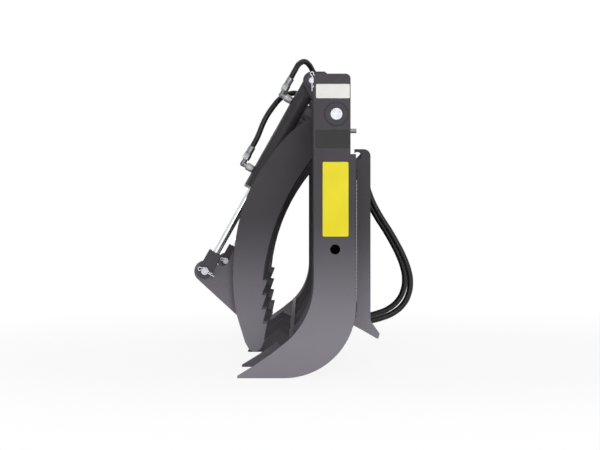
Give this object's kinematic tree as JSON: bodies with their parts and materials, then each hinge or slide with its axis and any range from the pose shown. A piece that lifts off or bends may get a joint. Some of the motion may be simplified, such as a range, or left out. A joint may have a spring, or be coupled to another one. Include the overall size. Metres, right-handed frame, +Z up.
{
  "type": "brush grapple",
  "caption": "Skid-steer brush grapple: curved tine frame, toothed hinged lid on a pivot shaft, two hydraulic cylinders, hook-and-wedge coupler and hoses.",
  "frame": {"origin": "centre of the coupler plate's rear face, 340 mm above the underside of the tines", "axes": "+X out of the coupler face towards the loader, +Y across to the operator's right, +Z up; the tines run out along -X"},
  "size_m": [0.6204, 1.688, 0.8154],
  "materials": {
    "painted_steel": "powder coated, satin",
    "bright_steel": "bright zinc and hard chrome",
    "fitting_steel": "zinc plated, dull",
    "bronze": "machined",
    "rubber_hose": "matt"
  },
  "bodies": {
    "root": {"side_plate_left": "painted_steel", "side_plate_right": "painted_steel", "tine_left_outer": "painted_steel", "tine_left_inner": "painted_steel", "tine_right_inner": "painted_steel", "tine_right_outer": "painted_steel", "throat_bar": "painted_steel", "lower_cross_tube": "painted_steel", "upper_cross_tube": "painted_steel", "pivot_shaft": "bright_steel", "pivot_bosses": "painted_steel", "pivot_caps": "bright_steel", "ear_plates_left": "painted_steel", "ear_plates_right": "painted_steel", "base_pin_left": "bright_steel", "base_pin_right": "bright_steel", "back_plate": "painted_steel", "hook_lips": "painted_steel", "wedge_flanges": "painted_steel", "coupler_end_plates": "painted_steel", "hose_guide_pins": "bright_steel", "bulkhead_fittings": "fitting_steel", "supply_line": "fitting_steel", "return_line": "fitting_steel", "line_clamps": "fitting_steel", "coupler_holder": "painted_steel", "quick_couplers": "bright_steel", "rear_hose_left": "rubber_hose", "rear_hose_right": "rubber_hose", "upper_hose_left": "rubber_hose", "lower_hose_left": "rubber_hose", "upper_hose_right": "rubber_hose", "lower_hose_right": "rubber_hose"},
    "lid": {"arm_plates_left": "painted_steel", "arm_plates_centre": "painted_steel", "arm_plates_right": "painted_steel", "lid_hubs": "painted_steel", "lid_bushes": "bronze", "upper_lid_tube": "painted_steel", "lower_lid_tube": "painted_steel", "cylinder_lug_left": "painted_steel", "cylinder_lug_right": "painted_steel"},
    "barrel_left_body": {"barrel_left": "painted_steel", "base_eye_left": "painted_steel", "gland_left": "bright_steel", "port_fittings_left": "fitting_steel"},
    "rod_left_body": {"piston_left": "bright_steel", "rod_left": "bright_steel", "clevis_left": "painted_steel", "rod_pin_left": "bright_steel"},
    "barrel_right_body": {"barrel_right": "painted_steel", "base_eye_right": "painted_steel", "gland_right": "bright_steel", "port_fittings_right": "fitting_steel"},
    "rod_right_body": {"piston_right": "bright_steel", "rod_right": "bright_steel", "clevis_right": "painted_steel", "rod_pin_right": "bright_steel"}
  },
  "joints": [
    {"name": "lid_hinge", "type": "hinge", "parent": "root", "child": "lid", "pos_m": [-0.055, 0, 0.294], "axis": [0, 1, 0], "range_deg": [0, 50]},
    {"name": "cylinder_swing_left", "type": "hinge", "parent": "root", "child": "barrel_left_body", "pos_m": [-0.1105, -0.48, 0.4126], "axis": [0, 1, 0], "range_deg": [0, 47], "deforming": ["upper_hose_left", "lower_hose_left"]},
    {"name": "rod_slide_left", "type": "slide", "parent": "barrel_left_body", "child": "rod_left_body", "axis": [0.49, 0, 0.8717], "range_m": [0, 0.107]},
    {"name": "cylinder_swing_right", "type": "hinge", "parent": "root", "child": "barrel_right_body", "pos_m": [-0.1105, 0.48, 0.4126], "axis": [0, 1, 0], "range_deg": [0, 47], "deforming": ["upper_hose_right", "lower_hose_right"]},
    {"name": "rod_slide_right", "type": "slide", "parent": "barrel_right_body", "child": "rod_right_body", "axis": [0.49, 0, 0.8717], "range_m": [0, 0.107]}
  ],
  "couplings": [
    {"joint": "cylinder_swing_left", "follows": "lid_hinge", "ratio": 0.934},
    {"joint": "rod_slide_left", "follows": "lid_hinge", "m_per_rad": 0.12175},
    {"joint": "cylinder_swing_right", "follows": "lid_hinge", "ratio": 0.934},
    {"joint": "rod_slide_right", "follows": "lid_hinge", "m_per_rad": 0.12175}
  ]
}
